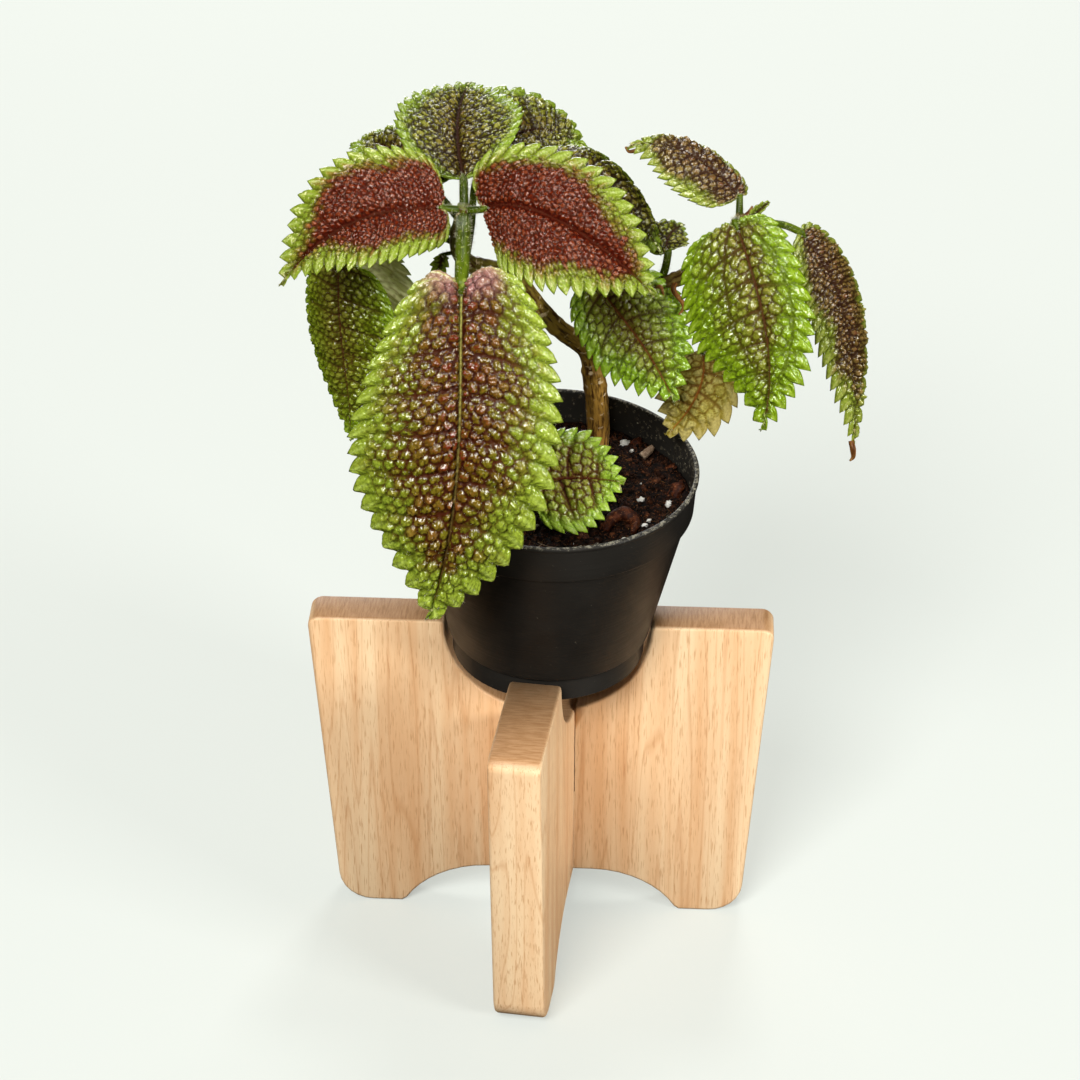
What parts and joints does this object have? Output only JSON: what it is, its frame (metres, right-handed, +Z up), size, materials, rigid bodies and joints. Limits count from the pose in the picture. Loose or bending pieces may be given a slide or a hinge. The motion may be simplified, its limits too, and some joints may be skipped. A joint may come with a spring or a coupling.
{
  "type": "friendship plant in a nursery pot on a crossed-board stand",
  "caption": "Friendship plant with quilted, serrated, hairy leaves on a curved stem, in a tapered black nursery pot seated in the notch of a stand made of crossed wooden boards.",
  "frame": {"origin": "centre of the whole object's box in X and Y, on the floor that the stand's feet rest on", "axes": "+Z up, +X along the side board to the viewer's right, +Y away from the large front leaf"},
  "size_m": [0.1964, 0.1708, 0.3246],
  "materials": {
    "wood": "clear satin finish on pale rubberwood, with a fine straight grain",
    "pot": "black moulded plastic with a slight sheen and dust at the rim",
    "soil": "loose dark peat with fibres, bark chips and white perlite",
    "bark": "smooth brown woody stem with leaf scars",
    "green_leaf": "quilted leaf, satin and finely hairy",
    "red_leaf": "quilted leaf with a dark red-brown centre and a lime margin",
    "withered_leaf": "drying olive-tan leaf with brown veins"
  },
  "bodies": {
    "root": {"side_board": "wood", "front_board": "wood", "pot": "pot", "potting_mix": "soil", "main_stem": "bark", "right_branch": "bark", "front_leaf": "red_leaf", "left_red_leaf": "red_leaf", "right_red_leaf": "red_leaf", "back_leaf": "green_leaf", "back_left_leaf": "green_leaf", "back_right_leaf": "green_leaf", "shoulder_leaf": "green_leaf", "lower_left_leaf": "green_leaf", "left_underside_leaf": "green_leaf", "hanging_leaflet": "green_leaf", "middle_leaf": "green_leaf", "withered_leaf": "withered_leaf", "small_leaf": "green_leaf", "right_green_leaf": "green_leaf", "right_back_leaf": "green_leaf", "far_right_leaf": "red_leaf", "bud_leaf": "green_leaf", "soil_leaf": "green_leaf"}
  },
  "joints": []
}
